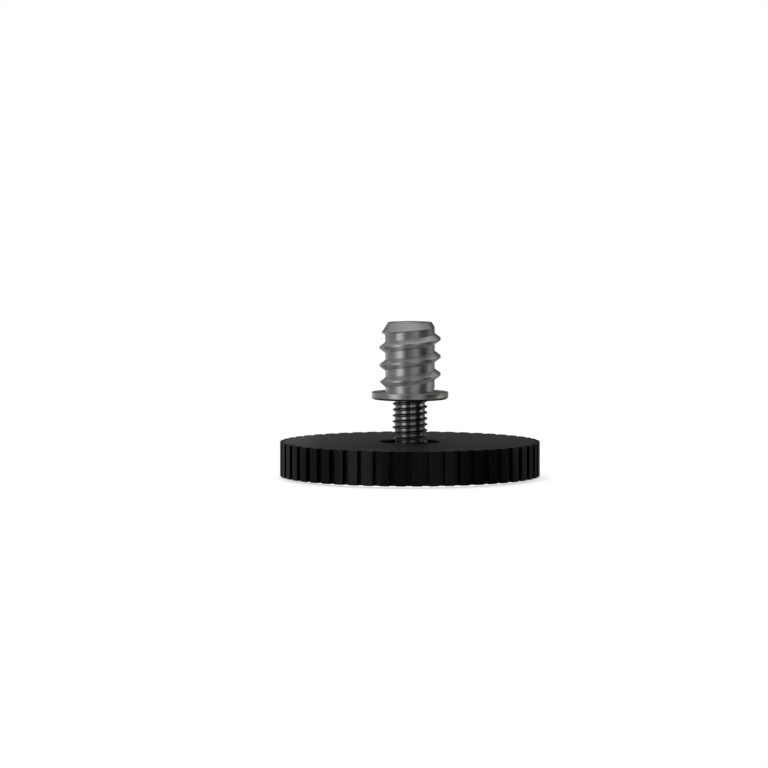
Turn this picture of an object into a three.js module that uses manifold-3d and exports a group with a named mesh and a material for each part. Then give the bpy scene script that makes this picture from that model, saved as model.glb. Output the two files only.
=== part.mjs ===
// Furniture levelling foot, in millimetres, +Z up, with the floor at z = 0 and the stud on the Z axis.
// A fluted hand wheel grips the hex head of an M6 stud. The stud turns on a thrust washer in a foot
// plate that stays still on the floor, and it screws in and out of a threaded insert, which is
// driven into the underside of a cabinet. Turning the wheel lifts or lowers the insert.

import * as THREE from 'three';
import { mergeVertices } from 'three/addons/utils/BufferGeometryUtils.js';
import Module from 'manifold-3d';

const wasm = await Module();
wasm.setup();

// Metric thread shared by the stud and the insert
const threadDiameter = 6;
const threadPitch = 1;
const threadDepth = 0.48;
const threadCrestFlat = 0.1;
const flankAngle = 30;
const crestAllowance = 0.03;
const firstCrest = 0.1;
const flankPlay = 0.1;
const crestPlay = 0.18;
const boreMinorDiameter = 5.3;

// Stud
const studLength = 20;
const neckLength = 0.8;
const tipChamfer = 0.7;
const headAcrossFlats = 10;
const headHeight = 2.3;
const headChamfer = 0.45;
const headFaceInset = 0.25;

// Hand wheel
const wheelRadius = 22;
const wheelHeight = 5.8;
const wheelFloorGap = 0.3;
const fluteCount = 50;
const fluteDepth = 0.85;
const landShare = 0.6;
const topWall = 1.8;
const skirtWall = 1.85;
const counterboreRadius = 5.25;
const webThickness = 0.85;
const studHoleGap = 0.35;
const headGap = 0.1;
const hubWall = 1.3;
const beadDepth = 0.5;
const beadHeight = 0.6;
const ribCount = 10;
const ribThickness = 1.2;

// Retaining washer, pushed down the stud onto the wheel's web
const retainerThickness = 0.4;
const retainerEdgeGap = 0.5;
const retainerTeeth = 6;
const retainerToothGap = 0.06;
const retainerToothLength = 0.75;
const retainerToothWidth = 1.5;

// Foot plate with its snap collar, and the thrust washer in its recess
const plateFloorGap = 0.25;
const plateThickness = 1.25;
const plateSkirtGap = 1;
const plateChamfer = 0.35;
const recessDepth = 0.4;
const pipRadius = 1.8;
const pipDrop = 0.05;
const thrustThickness = 0.5;
const thrustOverhang = 0.25;
const washerGap = 0.2;
const runningGap = 0.25;
const collarWall = 1;
const hookHeight = 0.7;
const hookLead = 0.35;
const slotCount = 6;
const slotWidth = 1.2;
const ribPlateGap = 0.5;
const collarRibGap = 0.75;

// Rubber tread ring in the groove under the foot plate
const treadRadius = 14.5;
const treadWidth = 4.7;
const treadThickness = 0.7;
const treadGap = 0.15;
const treadEdge = 0.2;

// Threaded insert
const panelHeight = 8.4;
const insertWall = 1.05;
const insertLength = 11.8;
const insertTaper = 2.4;
const insertTipDrop = 0.5;
const woodThreadDepth = 1;
const woodThreadPitch = 3;
const woodCrestFlat = 0.3;
const woodRootFlat = 1.2;
const woodThreadRelief = 0.8;
const flangeThickness = 1.2;
const flangeOverhang = 1.3;
const flangeChamfer = 0.3;
const socketGap = 0.15;
const socketDepth = 3.5;

// Points closer than this are one point
const weldDistance = 1e-5;

// Facets round a full turn
const threadSegments = 24;
const smallSegments = 36;
const largeSegments = 48;

// Radii that follow from the sizes above
const crestRadius = threadDiameter / 2 - crestAllowance;
const rootRadius = crestRadius - threadDepth * threadPitch;
const flankTan = Math.tan(THREE.MathUtils.degToRad(flankAngle));
const headCorner = headAcrossFlats / Math.sqrt(3);
const pocketCorner = (headAcrossFlats + 2 * headGap) / Math.sqrt(3);
const hubRadius = pocketCorner + hubWall;
const beadRadius = hubRadius + beadDepth;
const hookRadius = hubRadius + runningGap;
const collarInner = beadRadius + runningGap;
const collarOuter = collarInner + collarWall;
const fluteRadius = wheelRadius - fluteDepth;
const skirtInner = fluteRadius - skirtWall;
const plateRadius = skirtInner - plateSkirtGap;
const thrustRadius = headCorner + thrustOverhang;
const studHoleRadius = crestRadius + studHoleGap;
const boreMajorRadius = crestRadius + crestPlay;
const boreMinorRadius = boreMinorDiameter / 2;
const insertRoot = boreMajorRadius + insertWall;
const insertCrest = insertRoot + woodThreadDepth;
const insertTip = insertRoot - insertTipDrop;
const flangeRadius = insertCrest + flangeOverhang;

// Heights above the floor, from the bottom of the stack to the top
const plateTop = plateFloorGap + plateThickness;
const recessFloor = plateTop - recessDepth;
const headBottom = recessFloor + thrustThickness;
const headTop = headBottom + headHeight;
const webTop = headTop + webThickness;
const wheelTop = wheelFloorGap + wheelHeight;
const hubBottom = plateTop + washerGap;
const hookBottom = hubBottom + beadHeight + runningGap;
const collarTop = hookBottom + hookHeight;
const panelFace = wheelTop + panelHeight;
const insertBottom = panelFace - flangeThickness;

// A closed body turned about the Z axis, from [radius, height] points listed up its outside.
function turned(profile, segments) {
  const points = profile.map(([radius, height]) => new THREE.Vector2(radius, height));
  return new THREE.LatheGeometry(points, segments).rotateX(Math.PI / 2);
}

// A flat ring, from its inner and outer radius and its lowest and highest height.
function ring(inner, outer, low, high, segments) {
  return turned([[inner, low], [outer, low], [outer, high], [inner, high], [inner, low]], segments);
}

// The point at a radius and an angle, seen from above.
function polar(radius, angle) {
  return new THREE.Vector2(radius * Math.cos(angle), radius * Math.sin(angle));
}

// A flat outline raised from one height to another.
function raised(points, low, high) {
  const settings = { depth: high - low, bevelEnabled: false };
  return new THREE.ExtrudeGeometry(new THREE.Shape(points), settings).translate(0, 0, low);
}

// A six-sided prism with two of its flats square to Y.
function hexPrism(corner, low, high) {
  const points = [];
  for (let side = 0; side < 6; side += 1) {
    points.push(polar(corner, side * Math.PI / 3));
  }
  return raised(points, low, high);
}

// The solid that a closed geometry encloses.
function solid(geometry) {
  const bare = geometry.clone();
  bare.deleteAttribute('normal');
  bare.deleteAttribute('uv');
  const merged = mergeVertices(bare, weldDistance);
  const corners = merged.index.array;
  const faces = [];
  for (let i = 0; i < corners.length; i += 3) {
    const [a, b, c] = [corners[i], corners[i + 1], corners[i + 2]];
    if (a !== b && b !== c && c !== a) {
      faces.push(a, b, c);
    }
  }
  const mesh = new wasm.Mesh({
    numProp: 3,
    vertProperties: Float32Array.from(merged.attributes.position.array),
    triVerts: Uint32Array.from(faces),
  });
  return new wasm.Manifold(mesh);
}

// A geometry with the faces of a solid.
function shell(body) {
  const { vertProperties, triVerts } = body.getMesh();
  const geometry = new THREE.BufferGeometry();
  geometry.setAttribute('position', new THREE.BufferAttribute(Float32Array.from(vertProperties), 3));
  geometry.setIndex(new THREE.BufferAttribute(Uint32Array.from(triVerts), 1));
  geometry.computeVertexNormals();
  return geometry;
}

// A solid rod with a right-hand thread. A crest passes the +X side at the height crestAt, and the rod is no
// thicker at a height than limit says. Its rows of points follow the thread: each is a plain ring of a
// turned rod, lifted by the pitch on its way round, so that it ends where a later row begins. Rows past
// an end lie on that end, at the root of the thread.
function threadedRod({ pitch, crest, root, crestFlat, rootFlat, low, high, crestAt, limit }) {
  const flank = (pitch - crestFlat - rootFlat) / 2;
  const steps = [0, crestFlat, crestFlat + flank, crestFlat + flank + rootFlat];
  const firstRow = crestAt - crestFlat / 2 - pitch * Math.ceil((crestAt - low) / pitch + 2);
  const rows = [];
  for (let turn = firstRow; turn < high + pitch; turn += pitch) {
    steps.forEach((step, index) => rows.push([index < 2 ? crest : root, turn + step]));
  }
  const profile = [[0, rows[0][1]], ...rows, [0, rows.at(-1)[1]]];
  const geometry = turned(profile, threadSegments);
  const position = geometry.attributes.position;
  for (let i = 0; i < position.count; i += 1) {
    const [thread, start] = profile[i % profile.length];
    const round = Math.floor(i / profile.length) / threadSegments;
    const height = THREE.MathUtils.clamp(start + pitch * round, low, high);
    const atEnd = height === low || height === high;
    const radius = Math.min(thread, limit(height), atEnd ? root : crest);
    const point = polar(radius, 2 * Math.PI * round);
    position.setXYZ(i, point.x, point.y, height);
  }
  return geometry;
}

// M6 stud with a thin hex head. Its local zero is the head's upper face, which bears on the wheel's web.
function studGeometry() {
  const rod = threadedRod({
    pitch: threadPitch,
    crest: crestRadius,
    root: rootRadius,
    crestFlat: threadCrestFlat * threadPitch,
    rootFlat: threadPitch - threadCrestFlat * threadPitch - 2 * (crestRadius - rootRadius) * flankTan,
    low: -headHeight / 2,
    high: studLength,
    crestAt: firstCrest,
    limit: (height) => Math.min(
      rootRadius + Math.max(0, height - neckLength),
      crestRadius - tipChamfer + (studLength - height),
    ),
  });
  const washerFace = headAcrossFlats / 2 - headFaceInset;
  const faced = turned([
    [0, -headHeight],
    [washerFace, -headHeight],
    [headCorner, -headHeight + headChamfer],
    [headCorner, 0],
    [0, 0],
  ], smallSegments);
  const head = solid(hexPrism(headCorner, -headHeight, 0)).intersect(solid(faced));
  return shell(solid(rod).add(head));
}

// The wheel's outline: a land and a square flute, fluteCount times, with a land on +X.
function wheelOutline() {
  const points = [];
  const step = 2 * Math.PI / fluteCount;
  const halfLand = step * landShare / 2;
  for (let flute = 0; flute < fluteCount; flute += 1) {
    const middle = flute * step;
    for (const angle of [middle - halfLand, middle, middle + halfLand]) {
      points.push(polar(wheelRadius, angle));
    }
    for (const angle of [middle + halfLand, middle + step - halfLand]) {
      points.push(polar(fluteRadius, angle));
    }
  }
  return points;
}

// Moulded hand wheel: fluted skirt, top wall, stiffening ribs, and a hub that holds the stud's head from
// below. Its local zero is the skirt's lower edge.
function wheelGeometry() {
  const top = wheelHeight;
  const wallBottom = top - topWall;
  const web = webTop - wheelFloorGap;
  const hub = hubBottom - wheelFloorGap;
  const pocketTop = headTop - wheelFloorGap;
  const rim = solid(raised(wheelOutline(), 0, top));
  const hollow = solid(ring(hubRadius, skirtInner, -topWall, wallBottom, largeSegments));
  const bead = solid(turned([
    [studHoleRadius, hub],
    [hubRadius, hub],
    [beadRadius, hub + beadHeight / 2],
    [beadRadius, hub + beadHeight],
    [studHoleRadius, hub + beadHeight],
    [studHoleRadius, hub],
  ], largeSegments));
  const hubEnd = solid(turned([
    [0, -topWall],
    [beadRadius, -topWall],
    [beadRadius, hub],
    [0, hub],
  ], largeSegments));
  const counterbore = solid(turned([
    [0, web],
    [counterboreRadius, web],
    [counterboreRadius, top + topWall],
    [0, top + topWall],
  ], smallSegments));
  const studHole = solid(turned([
    [0, 0],
    [studHoleRadius, 0],
    [studHoleRadius, top],
    [0, top],
  ], smallSegments));
  const pocket = solid(hexPrism(pocketCorner, -topWall, pocketTop));
  let wheel = rim.subtract(hollow).add(bead).subtract(hubEnd);
  wheel = wheel.subtract(counterbore).subtract(studHole).subtract(pocket);
  for (let rib = 0; rib < ribCount; rib += 1) {
    wheel = wheel.add(solid(ribGeometry(rib, wallBottom)));
  }
  return shell(wheel);
}

// One stiffening rib under the top wall, from beside the snap collar out to the skirt.
function ribGeometry(index, wallBottom) {
  const inner = collarOuter + collarRibGap;
  const outer = skirtInner + skirtWall / 2;
  const low = plateTop + ribPlateGap - wheelFloorGap;
  const high = wallBottom + topWall / 2;
  const rib = new THREE.BoxGeometry(outer - inner, ribThickness, high - low);
  rib.translate((inner + outer) / 2, 0, (low + high) / 2);
  return rib.rotateZ(2 * Math.PI * (index + 0.5) / ribCount);
}

// Push-on star washer. Its local zero is its lower face.
function retainerGeometry() {
  const outer = counterboreRadius - retainerEdgeGap;
  const tip = crestRadius + retainerToothGap;
  const between = tip + retainerToothLength;
  const disc = ring(between, outer, 0, retainerThickness, smallSegments);
  const bore = solid(turned([
    [0, -retainerThickness],
    [tip, -retainerThickness],
    [tip, 2 * retainerThickness],
    [0, 2 * retainerThickness],
  ], smallSegments));
  let washer = solid(disc);
  for (let tooth = 0; tooth < retainerTeeth; tooth += 1) {
    const reach = (between + outer) / 2;
    const bar = new THREE.BoxGeometry(reach, retainerToothWidth, retainerThickness);
    bar.translate(reach / 2, 0, retainerThickness / 2);
    bar.rotateZ(2 * Math.PI * tooth / retainerTeeth);
    washer = washer.add(solid(bar));
  }
  return shell(washer.subtract(bore));
}

// Plain thrust washer between the stud's head and the foot plate. Its local zero is its lower face.
function thrustGeometry() {
  return ring(pipRadius + washerGap, thrustRadius, 0, thrustThickness, smallSegments);
}

// Foot plate: a disc with a groove for the tread ring below, a recess for the thrust washer above, and a
// slotted collar whose hooks snap over the bead on the wheel's hub. Its local zero is its lower face.
function plateGeometry() {
  const top = plateThickness;
  const groove = treadThickness - plateFloorGap;
  const recess = top - recessDepth;
  const hook = hookBottom - plateFloorGap;
  const rise = collarTop - plateFloorGap;
  const grooveInner = treadRadius - treadWidth / 2 - treadGap;
  const grooveOuter = treadRadius + treadWidth / 2 + treadGap;
  const blank = solid(turned([
    [0, 0],
    [grooveInner, 0],
    [grooveInner, groove],
    [grooveOuter, groove],
    [grooveOuter, 0],
    [plateRadius - plateChamfer, 0],
    [plateRadius, plateChamfer],
    [plateRadius, top],
    [collarOuter, top],
    [collarOuter, rise],
    [hookRadius + hookLead, rise],
    [hookRadius, rise - hookLead],
    [hookRadius, hook],
    [collarInner, hook],
    [collarInner, top],
    [thrustRadius + washerGap, top],
    [thrustRadius + washerGap, recess],
    [pipRadius, recess],
    [pipRadius, recess + thrustThickness - pipDrop],
    [0, recess + thrustThickness - pipDrop],
  ], largeSegments));
  let plate = blank;
  for (let slot = 0; slot < slotCount; slot += 1) {
    const reach = collarOuter + slotWidth;
    const cut = new THREE.BoxGeometry(reach - thrustRadius, slotWidth, rise);
    cut.translate((reach + thrustRadius) / 2, 0, top + rise / 2);
    cut.rotateZ(2 * Math.PI * slot / slotCount);
    plate = plate.subtract(solid(cut));
  }
  return shell(plate);
}

// Rubber tread ring with rounded-off lower edges. Its local zero is the face that meets the floor.
function treadGeometry() {
  const inner = treadRadius - treadWidth / 2;
  const outer = treadRadius + treadWidth / 2;
  return turned([
    [inner + treadEdge, 0],
    [outer - treadEdge, 0],
    [outer, treadEdge],
    [outer, treadThickness],
    [inner, treadThickness],
    [inner, treadEdge],
    [inner + treadEdge, 0],
  ], largeSegments);
}

// Screw-in insert: a coarse thread outside for the board, the stud's metric thread inside, and a flange
// and a hex socket at the lower end. Its local zero is the flange's lower face.
function insertGeometry() {
  const top = flangeThickness + insertLength;
  const outside = threadedRod({
    pitch: woodThreadPitch,
    crest: insertCrest,
    root: insertRoot,
    crestFlat: woodCrestFlat,
    rootFlat: woodRootFlat,
    low: flangeThickness / 2,
    high: top,
    crestAt: flangeThickness + woodThreadPitch,
    limit: (height) => Math.min(
      insertRoot + Math.max(0, height - flangeThickness - woodThreadRelief),
      insertTip + (top - height) * (insertCrest - insertTip) / insertTaper,
    ),
  });
  const flange = turned([
    [0, 0],
    [flangeRadius - flangeChamfer, 0],
    [flangeRadius, flangeChamfer],
    [flangeRadius, flangeThickness],
    [0, flangeThickness],
  ], smallSegments);
  const tapFlank = flankPlay - crestPlay * flankTan;
  const tapCrestFlat = threadCrestFlat * threadPitch + 2 * tapFlank;
  const tap = threadedRod({
    pitch: threadPitch,
    crest: boreMajorRadius,
    root: boreMinorRadius,
    crestFlat: tapCrestFlat,
    rootFlat: threadPitch - tapCrestFlat - 2 * (boreMajorRadius - boreMinorRadius) * flankTan,
    low: socketDepth / 2,
    high: top + threadPitch,
    crestAt: firstCrest + headTop - insertBottom,
    limit: () => boreMajorRadius,
  });
  const socketCorner = (threadDiameter + 2 * socketGap) / Math.sqrt(3);
  const socket = hexPrism(socketCorner, -flangeThickness, socketDepth);
  return shell(solid(outside).add(solid(flange)).subtract(solid(tap)).subtract(solid(socket)));
}

// One named piece, with its own material, at a height above the floor.
function piece(name, geometry, height, colour, roughness, metalness) {
  const material = new THREE.MeshStandardMaterial({ color: colour, roughness, metalness });
  material.flatShading = true;
  const mesh = new THREE.Mesh(geometry, material);
  mesh.name = name;
  mesh.position.z = height;
  return mesh;
}

// The pieces that stay still on the floor
const standing = new THREE.Group();
standing.add(piece('foot_plate', plateGeometry(), plateFloorGap, 0x202022, 0.6, 0));
standing.add(piece('tread_ring', treadGeometry(), 0, 0x2e2e2e, 0.9, 0));
standing.add(piece('thrust_washer', thrustGeometry(), recessFloor, 0xe6e2d6, 0.45, 0));

// The pieces that turn together
const turning = new THREE.Group();
turning.add(piece('levelling_stud', studGeometry(), headTop, 0x5a5a5c, 0.3, 1));
turning.add(piece('hand_wheel', wheelGeometry(), wheelFloorGap, 0x151515, 0.5, 0));
turning.add(piece('retaining_washer', retainerGeometry(), webTop, 0x6a6a6c, 0.4, 1));

// The piece that the board holds
const lifted = new THREE.Group();
lifted.add(piece('threaded_insert', insertGeometry(), insertBottom, 0xb4b2ac, 0.4, 1));

const levellingFoot = new THREE.Group();
levellingFoot.add(standing, turning, lifted);

export default levellingFoot;
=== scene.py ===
import math
from collections import Counter

import bpy
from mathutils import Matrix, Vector


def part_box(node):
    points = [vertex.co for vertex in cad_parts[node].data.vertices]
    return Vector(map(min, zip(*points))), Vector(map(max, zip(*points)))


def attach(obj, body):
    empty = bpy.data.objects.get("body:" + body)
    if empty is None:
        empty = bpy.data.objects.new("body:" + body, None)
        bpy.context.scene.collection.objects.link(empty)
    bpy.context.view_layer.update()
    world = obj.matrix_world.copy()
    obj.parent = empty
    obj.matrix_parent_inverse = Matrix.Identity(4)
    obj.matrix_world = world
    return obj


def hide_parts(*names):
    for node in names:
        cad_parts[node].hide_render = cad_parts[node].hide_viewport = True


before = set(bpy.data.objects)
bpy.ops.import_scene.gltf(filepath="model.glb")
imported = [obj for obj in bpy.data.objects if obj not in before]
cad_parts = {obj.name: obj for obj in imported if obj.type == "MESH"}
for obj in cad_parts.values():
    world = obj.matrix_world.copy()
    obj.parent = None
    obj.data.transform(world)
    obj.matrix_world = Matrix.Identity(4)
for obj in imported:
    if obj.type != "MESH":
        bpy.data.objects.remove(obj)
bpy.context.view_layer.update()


# ---- Tread ring ----
# A flat ring of dark grey rubber, pressed into the groove under the foot plate. It is moulded with two
# round grooves in its lower face, and grips the floor, so that the plate stays still as the wheel turns.
# Each piece is modelled in millimetres, as its drawing is, and made its size in metres at the end.

MM = 0.001
TURN = 2 * math.pi
MERGE_DISTANCE = 0.0005
SMOOTH_BELOW = math.radians(40)
ROUNDING_SEGMENTS = 3
TURNED_STEPS = 192

tread_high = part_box("tread_ring")[1] / MM
TREAD_WIDTH = 4.7
TREAD_OUTER = tread_high.x
TREAD_INNER = TREAD_OUTER - TREAD_WIDTH
TREAD_HEIGHT = tread_high.z
TREAD_GROOVES = 2
TREAD_GROOVE_WIDTH = 0.5
TREAD_GROOVE_DEPTH = 0.25
TREAD_ROUNDING = 0.1

RUBBER_COLOUR = (0.03, 0.03, 0.03)
RUBBER_DUST_COLOUR = (0.055, 0.054, 0.052)
RUBBER_DUST_SIZE = 3
RUBBER_DUST_EDGE = (0.5, 0.75)
RUBBER_GRAIN_SIZE = 0.3
RUBBER_GRAIN_DEPTH = 0.02
RUBBER_ROUGHNESS = 0.78
RUBBER_ROUGHNESS_SPREAD = 0.15


class Shade:
    """One output of a node in a material. Sums on it add Math nodes."""

    def __init__(self, tree, socket=None):
        self.tree = tree
        self.socket = socket

    def node(self, kind, settings, inputs, output=0):
        """Adds a node, sets it up, fills its sockets and returns one of its outputs."""
        made = self.tree.nodes.new(kind)
        for name, value in settings.items():
            if name == "stops":
                stops = made.color_ramp.elements
                while len(stops) < len(value):
                    stops.new(1)
                for stop, (place, colour) in zip(stops, value):
                    stop.position = place
                    stop.color = (*colour, 1)
            else:
                setattr(made, name, value)
        for name, value in inputs.items():
            if isinstance(value, Shade):
                self.tree.links.new(value.socket, made.inputs[name])
            else:
                made.inputs[name].default_value = value
        return Shade(self.tree, made.outputs[output] if made.outputs else None)

    def math(self, operation, first, second):
        return self.node("ShaderNodeMath", {"operation": operation}, {0: first, 1: second})

    def __add__(self, other):
        return self.math("ADD", self, other)

    def __radd__(self, other):
        return self.math("ADD", other, self)

    def __sub__(self, other):
        return self.math("SUBTRACT", self, other)

    def __rsub__(self, other):
        return self.math("SUBTRACT", other, self)

    def __mul__(self, other):
        return self.math("MULTIPLY", self, other)

    def __rmul__(self, other):
        return self.math("MULTIPLY", other, self)

    def __truediv__(self, other):
        return self.math("DIVIDE", self, other)

    def step(self, low, high):
        """A soft step from 0 to 1 as the value goes from low to high."""
        ends = {"Value": self, "From Min": low, "From Max": high}
        return self.node("ShaderNodeMapRange", {"interpolation_type": "SMOOTHSTEP"}, ends)

    def noise(self, size, detail):
        """Noise from 0 to 1 on the place that this is, with lumps of about that size."""
        inputs = {"Vector": self, "Scale": 1 / size, "Detail": detail}
        return self.node("ShaderNodeTexNoise", {}, inputs, "Fac")

    def blend(self, first, second):
        """From one colour to another by the value that this is. A Mix node's colours are its sockets 6
        and 7, and the mixed one is its output 2."""
        inputs = {"Factor": self, 6: (*first, 1) if isinstance(first, tuple) else first}
        inputs[7] = (*second, 1) if isinstance(second, tuple) else second
        return self.node("ShaderNodeMix", {"data_type": "RGBA"}, inputs, 2)

    def axis(self, name):
        """The X, Y or Z of the place that this is."""
        return self.node("ShaderNodeSeparateXYZ", {}, {"Vector": self}, name)


def new_material(name):
    """A material with a plain surface shader, that shader's sockets, and the place on the piece."""
    made = bpy.data.materials.new(name)
    made.use_nodes = True
    tree = made.node_tree
    surface = tree.nodes["Principled BSDF"].inputs
    place = Shade(tree).node("ShaderNodeTexCoord", {}, {}, "Object")
    return made, surface, place


def wire(shade, socket):
    """Links a value to a socket of the surface shader."""
    shade.tree.links.new(shade.socket, socket)


def bump(height, depth, surface):
    """Raises the surface by the height, from 0 to 1, times the depth."""
    inputs = {"Height": height, "Distance": depth, "Strength": 1}
    wire(height.node("ShaderNodeBump", {}, inputs), surface["Normal"])


def pick(piece):
    """Selects one piece alone and makes it the active one."""
    bpy.ops.object.select_all(action="DESELECT")
    bpy.context.view_layer.objects.active = piece
    piece.select_set(True)


def in_edit_mode(piece):
    """Opens one piece in edit mode with all of it selected."""
    pick(piece)
    bpy.ops.object.mode_set(mode="EDIT")
    bpy.ops.mesh.select_all(action="SELECT")


def select(piece, elements, wanted):
    """In edit mode, selects the points, edges or faces of a piece that are wanted, and nothing else."""
    bpy.ops.mesh.select_all(action="DESELECT")
    bpy.ops.object.mode_set(mode="OBJECT")
    for element in getattr(piece.data, elements):
        element.select = wanted(element)
    bpy.ops.object.mode_set(mode="EDIT")


def drawn(name, outline):
    """A line drawn point by point in the XZ plane, as a piece that is left open in edit mode."""
    bpy.ops.object.select_all(action="DESELECT")
    bpy.ops.mesh.primitive_plane_add(size=1)
    line = bpy.context.object
    line.name = name
    in_edit_mode(line)
    bpy.ops.mesh.select_mode(type="VERT")
    bpy.ops.mesh.merge(type="CENTER")
    bpy.ops.transform.translate(value=(outline[0][0], 0, outline[0][1]))
    for (radius, height), (next_radius, next_height) in zip(outline, outline[1:]):
        move = (next_radius - radius, 0, next_height - height)
        bpy.ops.mesh.extrude_region_move(TRANSFORM_OT_translate={"value": move})
    bpy.ops.mesh.select_all(action="SELECT")
    return line


def turned(name, outline, rounding=0.0, steps=TURNED_STEPS):
    """A piece turned about the Z axis. The outline is filled for the rounding of its corners, then only
    the line is kept, without any stretch on the axis, and spun a full turn."""
    piece = drawn(name, outline)
    bpy.ops.mesh.edge_face_add()
    if rounding:
        select(piece, "vertices", lambda point: point.co.x > rounding)
        bpy.ops.mesh.bevel(
            offset=rounding, segments=ROUNDING_SEGMENTS, affect="VERTICES", clamp_overlap=False
        )
    bpy.ops.mesh.select_all(action="SELECT")
    bpy.ops.mesh.delete(type="ONLY_FACE")
    bpy.ops.mesh.select_mode(type="EDGE")
    points = piece.data.vertices
    select(piece, "edges", lambda edge: all(points[end].co.x < MERGE_DISTANCE for end in edge.vertices))
    bpy.ops.mesh.delete(type="EDGE")
    bpy.ops.mesh.select_mode(type="VERT")
    bpy.ops.mesh.select_all(action="SELECT")
    bpy.ops.mesh.spin(steps=steps, angle=TURN, center=(0, 0, 0), axis=(0, 0, 1))
    bpy.ops.mesh.select_all(action="SELECT")
    bpy.ops.mesh.remove_doubles(threshold=MERGE_DISTANCE)
    bpy.ops.mesh.normals_make_consistent(inside=False)
    bpy.ops.object.mode_set(mode="OBJECT")
    return piece


def apply_modifier(piece, kind, **settings):
    """Adds a modifier to a piece and applies it."""
    modifier = piece.modifiers.new(kind.title(), kind)
    for name, value in settings.items():
        setattr(modifier, name, value)
    pick(piece)
    bpy.ops.object.modifier_apply(modifier=modifier.name)


def finish(piece, smooth_below=SMOOTH_BELOW):
    """Clears slivers from a piece and points that only split an edge, shades it smooth apart from its
    sharp edges, and brings it from millimetres to metres."""
    in_edit_mode(piece)
    bpy.ops.mesh.remove_doubles(threshold=MERGE_DISTANCE)
    bpy.ops.mesh.dissolve_degenerate(threshold=MERGE_DISTANCE)
    bpy.ops.mesh.delete_loose()
    bpy.ops.object.mode_set(mode="OBJECT")
    meetings = Counter(index for edge in piece.data.edges for index in edge.vertices)
    in_edit_mode(piece)
    bpy.ops.mesh.select_mode(type="VERT")
    select(piece, "vertices", lambda point: meetings[point.index] == 2)
    bpy.ops.mesh.dissolve_verts()
    bpy.ops.object.mode_set(mode="OBJECT")
    bpy.ops.object.shade_smooth_by_angle(angle=smooth_below)
    piece.scale = (MM, MM, MM)
    bpy.ops.object.transform_apply()
    apply_modifier(piece, "WEIGHTED_NORMAL", keep_sharp=True)


tread_outline = [(TREAD_INNER, 0)]
for groove in range(1, TREAD_GROOVES + 1):
    middle = TREAD_INNER + (TREAD_OUTER - TREAD_INNER) * groove / (TREAD_GROOVES + 1)
    near, far = middle - TREAD_GROOVE_WIDTH / 2, middle + TREAD_GROOVE_WIDTH / 2
    tread_outline += [(near, 0), (near, TREAD_GROOVE_DEPTH), (far, TREAD_GROOVE_DEPTH), (far, 0)]
tread_outline += [(TREAD_OUTER, 0), (TREAD_OUTER, TREAD_HEIGHT), (TREAD_INNER, TREAD_HEIGHT)]
tread_ring = turned("rubber_tread_ring", tread_outline, TREAD_ROUNDING)
finish(tread_ring)

rubber, rubber_surface, rubber_place = new_material("dull dark grey rubber")
rubber_grain = rubber_place.noise(RUBBER_GRAIN_SIZE * MM, detail=4)
rubber_dust = rubber_place.noise(RUBBER_DUST_SIZE * MM, detail=5).step(*RUBBER_DUST_EDGE)
wire(rubber_dust.blend(RUBBER_COLOUR, RUBBER_DUST_COLOUR), rubber_surface["Base Color"])
wire(RUBBER_ROUGHNESS + rubber_grain * RUBBER_ROUGHNESS_SPREAD, rubber_surface["Roughness"])
bump(rubber_grain, RUBBER_GRAIN_DEPTH * MM, rubber_surface)
tread_ring.data.materials.append(rubber)

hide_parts("tread_ring")
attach(tread_ring, "foot")


# ---- Foot plate ----
# The black plastic plate that stays still on the floor. It is one moulding with a recess for the thrust
# washer and a collar, slotted into six fingers, whose hooks snap over the bead on the wheel's hub.

plate_low, plate_high = (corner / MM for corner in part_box("foot_plate"))
washer_low, washer_high = (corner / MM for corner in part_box("thrust_washer"))
HEAD_FLATS = 10
POCKET_PLAY = 0.2
POCKET_CORNER = (HEAD_FLATS + POCKET_PLAY) / math.sqrt(3)
HUB_WALL = 1.3
HUB_RADIUS = POCKET_CORNER + HUB_WALL
BEAD_DEPTH = 0.5
BEAD_RADIUS = HUB_RADIUS + BEAD_DEPTH
SNAP_PLAY = 0.25
HOOK_RADIUS = HUB_RADIUS + SNAP_PLAY
COLLAR_WALL = 1
COLLAR_INNER = BEAD_RADIUS + SNAP_PLAY
COLLAR_OUTER = COLLAR_INNER + COLLAR_WALL
COLLAR_TOP = plate_high.z
HOOK_HEIGHT = 0.7
HOOK_LEAD = 0.35
PLATE_RADIUS = plate_high.x
PLATE_THICKNESS = 1.25
PLATE_BOTTOM = plate_low.z
PLATE_TOP = PLATE_BOTTOM + PLATE_THICKNESS
PLATE_CHAMFER = 0.35
RECESS_PLAY = 0.2
RECESS_FLOOR = washer_low.z
RECESS_RADIUS = washer_high.x + RECESS_PLAY
PIP_RADIUS = 1.8
PIP_SHORT_BY = 0.05
PIP_TOP = washer_high.z - PIP_SHORT_BY
GROOVE_PLAY = 0.15
GROOVE_INNER = TREAD_INNER - GROOVE_PLAY
GROOVE_OUTER = TREAD_OUTER + GROOVE_PLAY
FINGER_SLOTS = 6
FINGER_SLOT_WIDTH = 1.2
FINGER_SLOT_SILL = 0.1
GATE_RADIUS = 1.6
GATE_DEPTH = 0.25
EJECTOR_RADIUS = 1.1
EJECTOR_CIRCLE = 8.2
EJECTOR_DEPTH = 0.06
EJECTORS = 3
EJECTOR_START = TURN / 12
EJECTOR_STEPS = 32
PLATE_ROUNDING = 0.1
CUT_PAST = 1

PLATE_COLOUR = (0.012, 0.012, 0.0125)
PLATE_SCUFF_COLOUR = (0.024, 0.0235, 0.023)
PLATE_SCUFF_SIZE = 2.5
PLATE_SCUFF_EDGE = (0.55, 0.8)
PLATE_SCUFF_ROUGHNESS = 0.1
PLATE_GRAIN_SIZE = 0.15
PLATE_GRAIN_DEPTH = 0.006
PLATE_ROUGHNESS = 0.5
PLATE_ROUGHNESS_SPREAD = 0.12


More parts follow.
